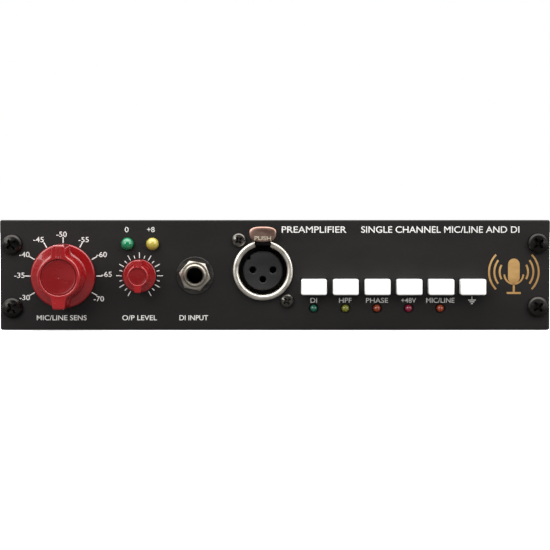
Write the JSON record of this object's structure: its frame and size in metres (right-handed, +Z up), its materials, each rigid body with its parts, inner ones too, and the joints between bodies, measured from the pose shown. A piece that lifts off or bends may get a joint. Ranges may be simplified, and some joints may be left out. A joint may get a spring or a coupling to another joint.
{
  "type": "microphone preamp",
  "caption": "Half-width rack microphone preamp with red pointer knobs, push buttons, status lamps, a jack, a three-pin socket and rear mains and line sockets.",
  "frame": {"origin": "middle of the bounding box, on the surface that the rubber feet stand on", "axes": "+Z up, the front panel faces -Y, +X to the right as the front is read"},
  "size_m": [0.217, 0.2152, 0.0436],
  "materials": {
    "panel_paint": "fine-textured charcoal powder coat",
    "case_paint": "charcoal powder coat on folded sheet",
    "black_zinc": "black-plated screw",
    "rubber": "black rubber",
    "nickel": "satin nickel plate",
    "black_nylon": "moulded black nylon",
    "latch_nickel": "warm satin nickel plate",
    "screw_steel": "plated steel screw",
    "contact_metal": "plated contact metal",
    "lamp_green": "unlit green lamp",
    "lamp_yellow": "unlit yellow lamp",
    "lamp_lime": "unlit yellow-green lamp",
    "lamp_orange_red": "unlit orange-red lamp",
    "lamp_red": "unlit red lamp",
    "lamp_orange": "unlit orange lamp",
    "button_white": "white push button",
    "switch_body": "moulded switch body",
    "knob_red": "satin red plastic",
    "knob_cap_red": "darker satin red plastic",
    "steel_shaft": "turned steel",
    "pot_can": "pressed can",
    "brass_nut": "nickel-plated brass nut",
    "board_green": "solder-masked circuit board",
    "pillar_nylon": "natural nylon",
    "mumetal": "drawn magnetic shield can",
    "core_steel": "varnished core laminations and winding",
    "winding_tape": "yellow winding tape",
    "clamp_steel": "zinc-plated clamp",
    "heatsink_black": "black anodised extrusion",
    "epoxy_black": "moulded epoxy",
    "cap_sleeve": "dark blue sleeve",
    "inlet_plastic": "black moulded inlet",
    "rocker_plastic": "black rocker",
    "wire_pvc": "brown wire insulation"
  },
  "bodies": {
    "chassis": {"front_panel": "panel_paint", "base_tray": "case_paint", "top_cover": "case_paint", "rear_panel": "case_paint", "front_panel_screws": "black_zinc", "case_screws": "black_zinc", "rubber_feet": "rubber", "mic_socket_shell": "nickel", "mic_socket_insert": "black_nylon", "socket_screws": "screw_steel", "line_socket_shell": "nickel", "line_socket_insert": "black_nylon", "socket_contacts": "contact_metal", "output_socket_shell": "nickel", "output_socket_insert": "black_nylon", "output_socket_pins": "contact_metal", "di_jack_housing": "black_nylon", "di_jack_bush": "nickel", "di_jack_nut": "nickel", "di_jack_washer": "nickel", "di_jack_springs": "contact_metal", "level_led_green": "lamp_green", "level_led_yellow": "lamp_yellow", "status_led_di": "lamp_green", "status_led_filter": "lamp_lime", "status_led_phase": "lamp_orange_red", "status_led_phantom": "lamp_red", "status_led_line": "lamp_orange", "push_switch_bodies": "switch_body", "gain_switch": "switch_body", "level_pot": "pot_can", "control_nuts": "brass_nut", "main_board": "board_green", "board_pillars": "pillar_nylon", "input_transformer": "mumetal", "output_transformer": "core_steel", "mains_transformer": "winding_tape", "transformer_clamp": "clamp_steel", "heatsink": "heatsink_black", "power_transistors": "epoxy_black", "electrolytic_capacitors": "cap_sleeve", "mains_inlet": "inlet_plastic", "inlet_pins": "contact_metal", "mains_wires": "wire_pvc"},
    "gain_control": {"gain_knob": "knob_red", "gain_knob_cap": "knob_cap_red", "gain_shaft": "steel_shaft"},
    "level_control": {"level_knob": "knob_red", "level_knob_cap": "knob_cap_red", "level_shaft": "steel_shaft"},
    "mic_release": {"mic_latch": "latch_nickel"},
    "line_release": {"line_latch": "latch_nickel"},
    "fuse_carrier": {"fuse_drawer": "inlet_plastic"},
    "power_switch": {"power_rocker": "rocker_plastic"},
    "di_push": {"di_button": "button_white"},
    "filter_push": {"filter_button": "button_white"},
    "phase_push": {"phase_button": "button_white"},
    "phantom_push": {"phantom_button": "button_white"},
    "line_push": {"line_button": "button_white"},
    "ground_push": {"ground_button": "button_white"}
  },
  "joints": [
    {"name": "gain_turn", "type": "hinge", "parent": "chassis", "child": "gain_control", "pos_m": [-0.0836, -0.0914, 0.0215], "axis": [0, 1, 0], "range_deg": [-120, 120]},
    {"name": "level_turn", "type": "hinge", "parent": "chassis", "child": "level_control", "pos_m": [-0.0535, -0.0914, 0.0216], "axis": [0, 1, 0], "range_deg": [-150, 150]},
    {"name": "mic_latch_push", "type": "slide", "parent": "chassis", "child": "mic_release", "axis": [0, 1, 0], "range_m": [0, 0.0015], "stiffness_N_per_m": 800, "springref_m": -0.001},
    {"name": "line_latch_push", "type": "slide", "parent": "chassis", "child": "line_release", "axis": [0, -1, 0], "range_m": [0, 0.0015], "stiffness_N_per_m": 800, "springref_m": -0.001},
    {"name": "fuse_drawer_pull", "type": "slide", "parent": "chassis", "child": "fuse_carrier", "axis": [0, 1, 0], "range_m": [0, 0.02]},
    {"name": "power_rock", "type": "hinge", "parent": "chassis", "child": "power_switch", "pos_m": [0.0498, 0.0976, 0.0215], "axis": [1, 0, 0], "range_deg": [0, 16]},
    {"name": "di_press", "type": "slide", "parent": "chassis", "child": "di_push", "axis": [0, 1, 0], "range_m": [0, 0.003], "stiffness_N_per_m": 400, "springref_m": -0.002},
    {"name": "filter_press", "type": "slide", "parent": "chassis", "child": "filter_push", "axis": [0, 1, 0], "range_m": [0, 0.003], "stiffness_N_per_m": 400, "springref_m": -0.002},
    {"name": "phase_press", "type": "slide", "parent": "chassis", "child": "phase_push", "axis": [0, 1, 0], "range_m": [0, 0.003], "stiffness_N_per_m": 400, "springref_m": -0.002},
    {"name": "phantom_press", "type": "slide", "parent": "chassis", "child": "phantom_push", "axis": [0, 1, 0], "range_m": [0, 0.003], "stiffness_N_per_m": 400, "springref_m": -0.002},
    {"name": "line_press", "type": "slide", "parent": "chassis", "child": "line_push", "axis": [0, 1, 0], "range_m": [0, 0.003], "stiffness_N_per_m": 400, "springref_m": -0.002},
    {"name": "ground_press", "type": "slide", "parent": "chassis", "child": "ground_push", "axis": [0, 1, 0], "range_m": [0, 0.003], "stiffness_N_per_m": 400, "springref_m": -0.002}
  ]
}
